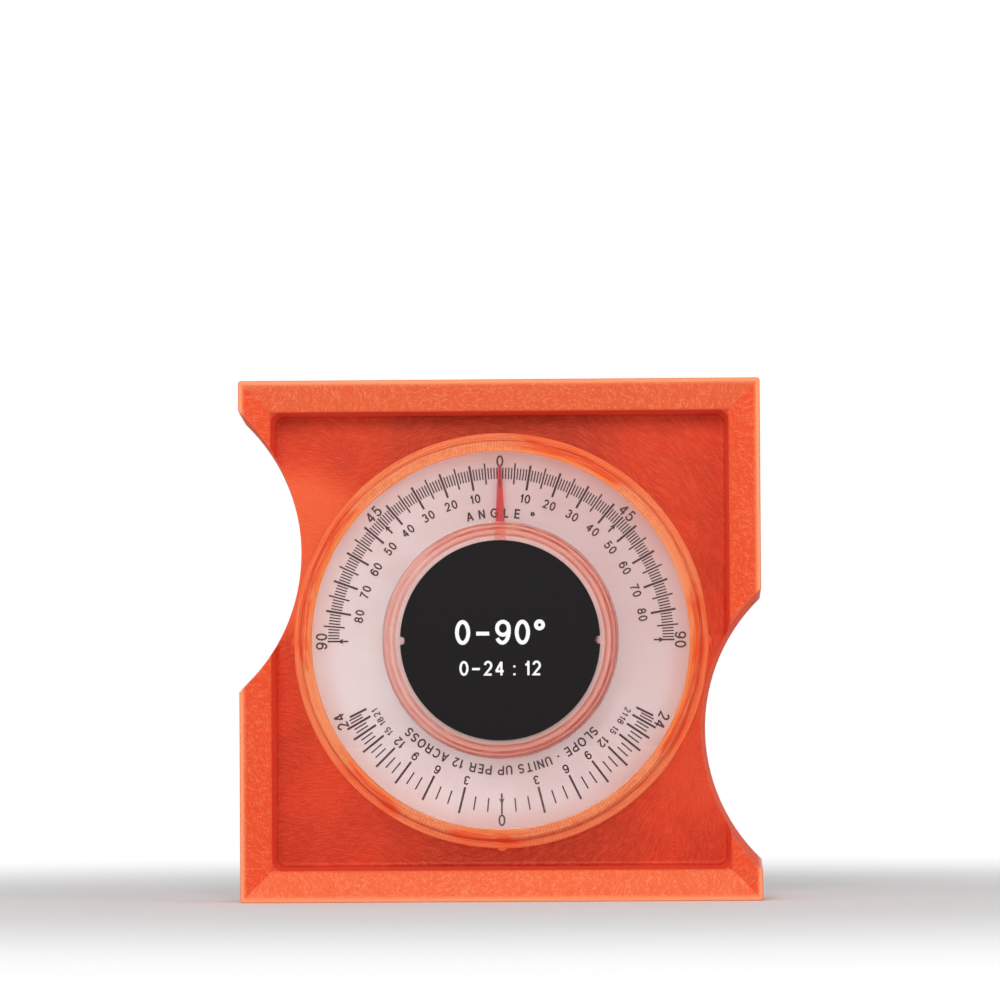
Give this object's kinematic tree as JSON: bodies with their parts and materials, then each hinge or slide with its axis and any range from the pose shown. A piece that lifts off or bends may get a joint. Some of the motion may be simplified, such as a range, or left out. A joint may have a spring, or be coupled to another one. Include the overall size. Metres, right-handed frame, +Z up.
{
  "type": "dial inclinometer",
  "caption": "Square dial inclinometer with finger cut-outs and a plumb pointer in a clear capsule, for reading angle and roof pitch.",
  "frame": {"origin": "middle of the base edge's underside, halfway between front and back", "axes": "+Z up through the pivot to the top edge, -Y out of the dial towards the reader, +X to the reader's right"},
  "size_m": [0.1048, 0.022, 0.1048],
  "materials": {
    "orange_plastic": "matte moulded plastic with a fine hair-like grain",
    "clear_plastic": "clear polished plastic",
    "dial_backing": "plain white plastic",
    "dial_print": "pale pinkish white printed foil with dark brown scales",
    "red_plastic": "translucent red plastic",
    "black_label": "satin black film",
    "brass": "turned brass",
    "steel": "bright steel",
    "screw_steel": "zinc-plated steel"
  },
  "bodies": {
    "housing": {"front_frame": "orange_plastic", "back_cover": "orange_plastic", "cover_screws": "screw_steel", "lens": "clear_plastic", "centre_label": "black_label", "dial_plate": "dial_backing", "dial_face": "dial_print", "front_bearing": "brass", "rear_bearing": "brass"},
    "pendulum": {"axle": "steel", "hub": "brass", "front_thrust_washer": "steel", "rear_thrust_washer": "steel", "pointer": "red_plastic", "counterweight": "steel", "weight_rivets": "steel"}
  },
  "joints": [
    {"name": "pendulum_swing", "type": "hinge", "parent": "housing", "child": "pendulum", "pos_m": [0, -0.0055, 0.0524], "axis": [0, -1, 0], "continuous": true}
  ]
}
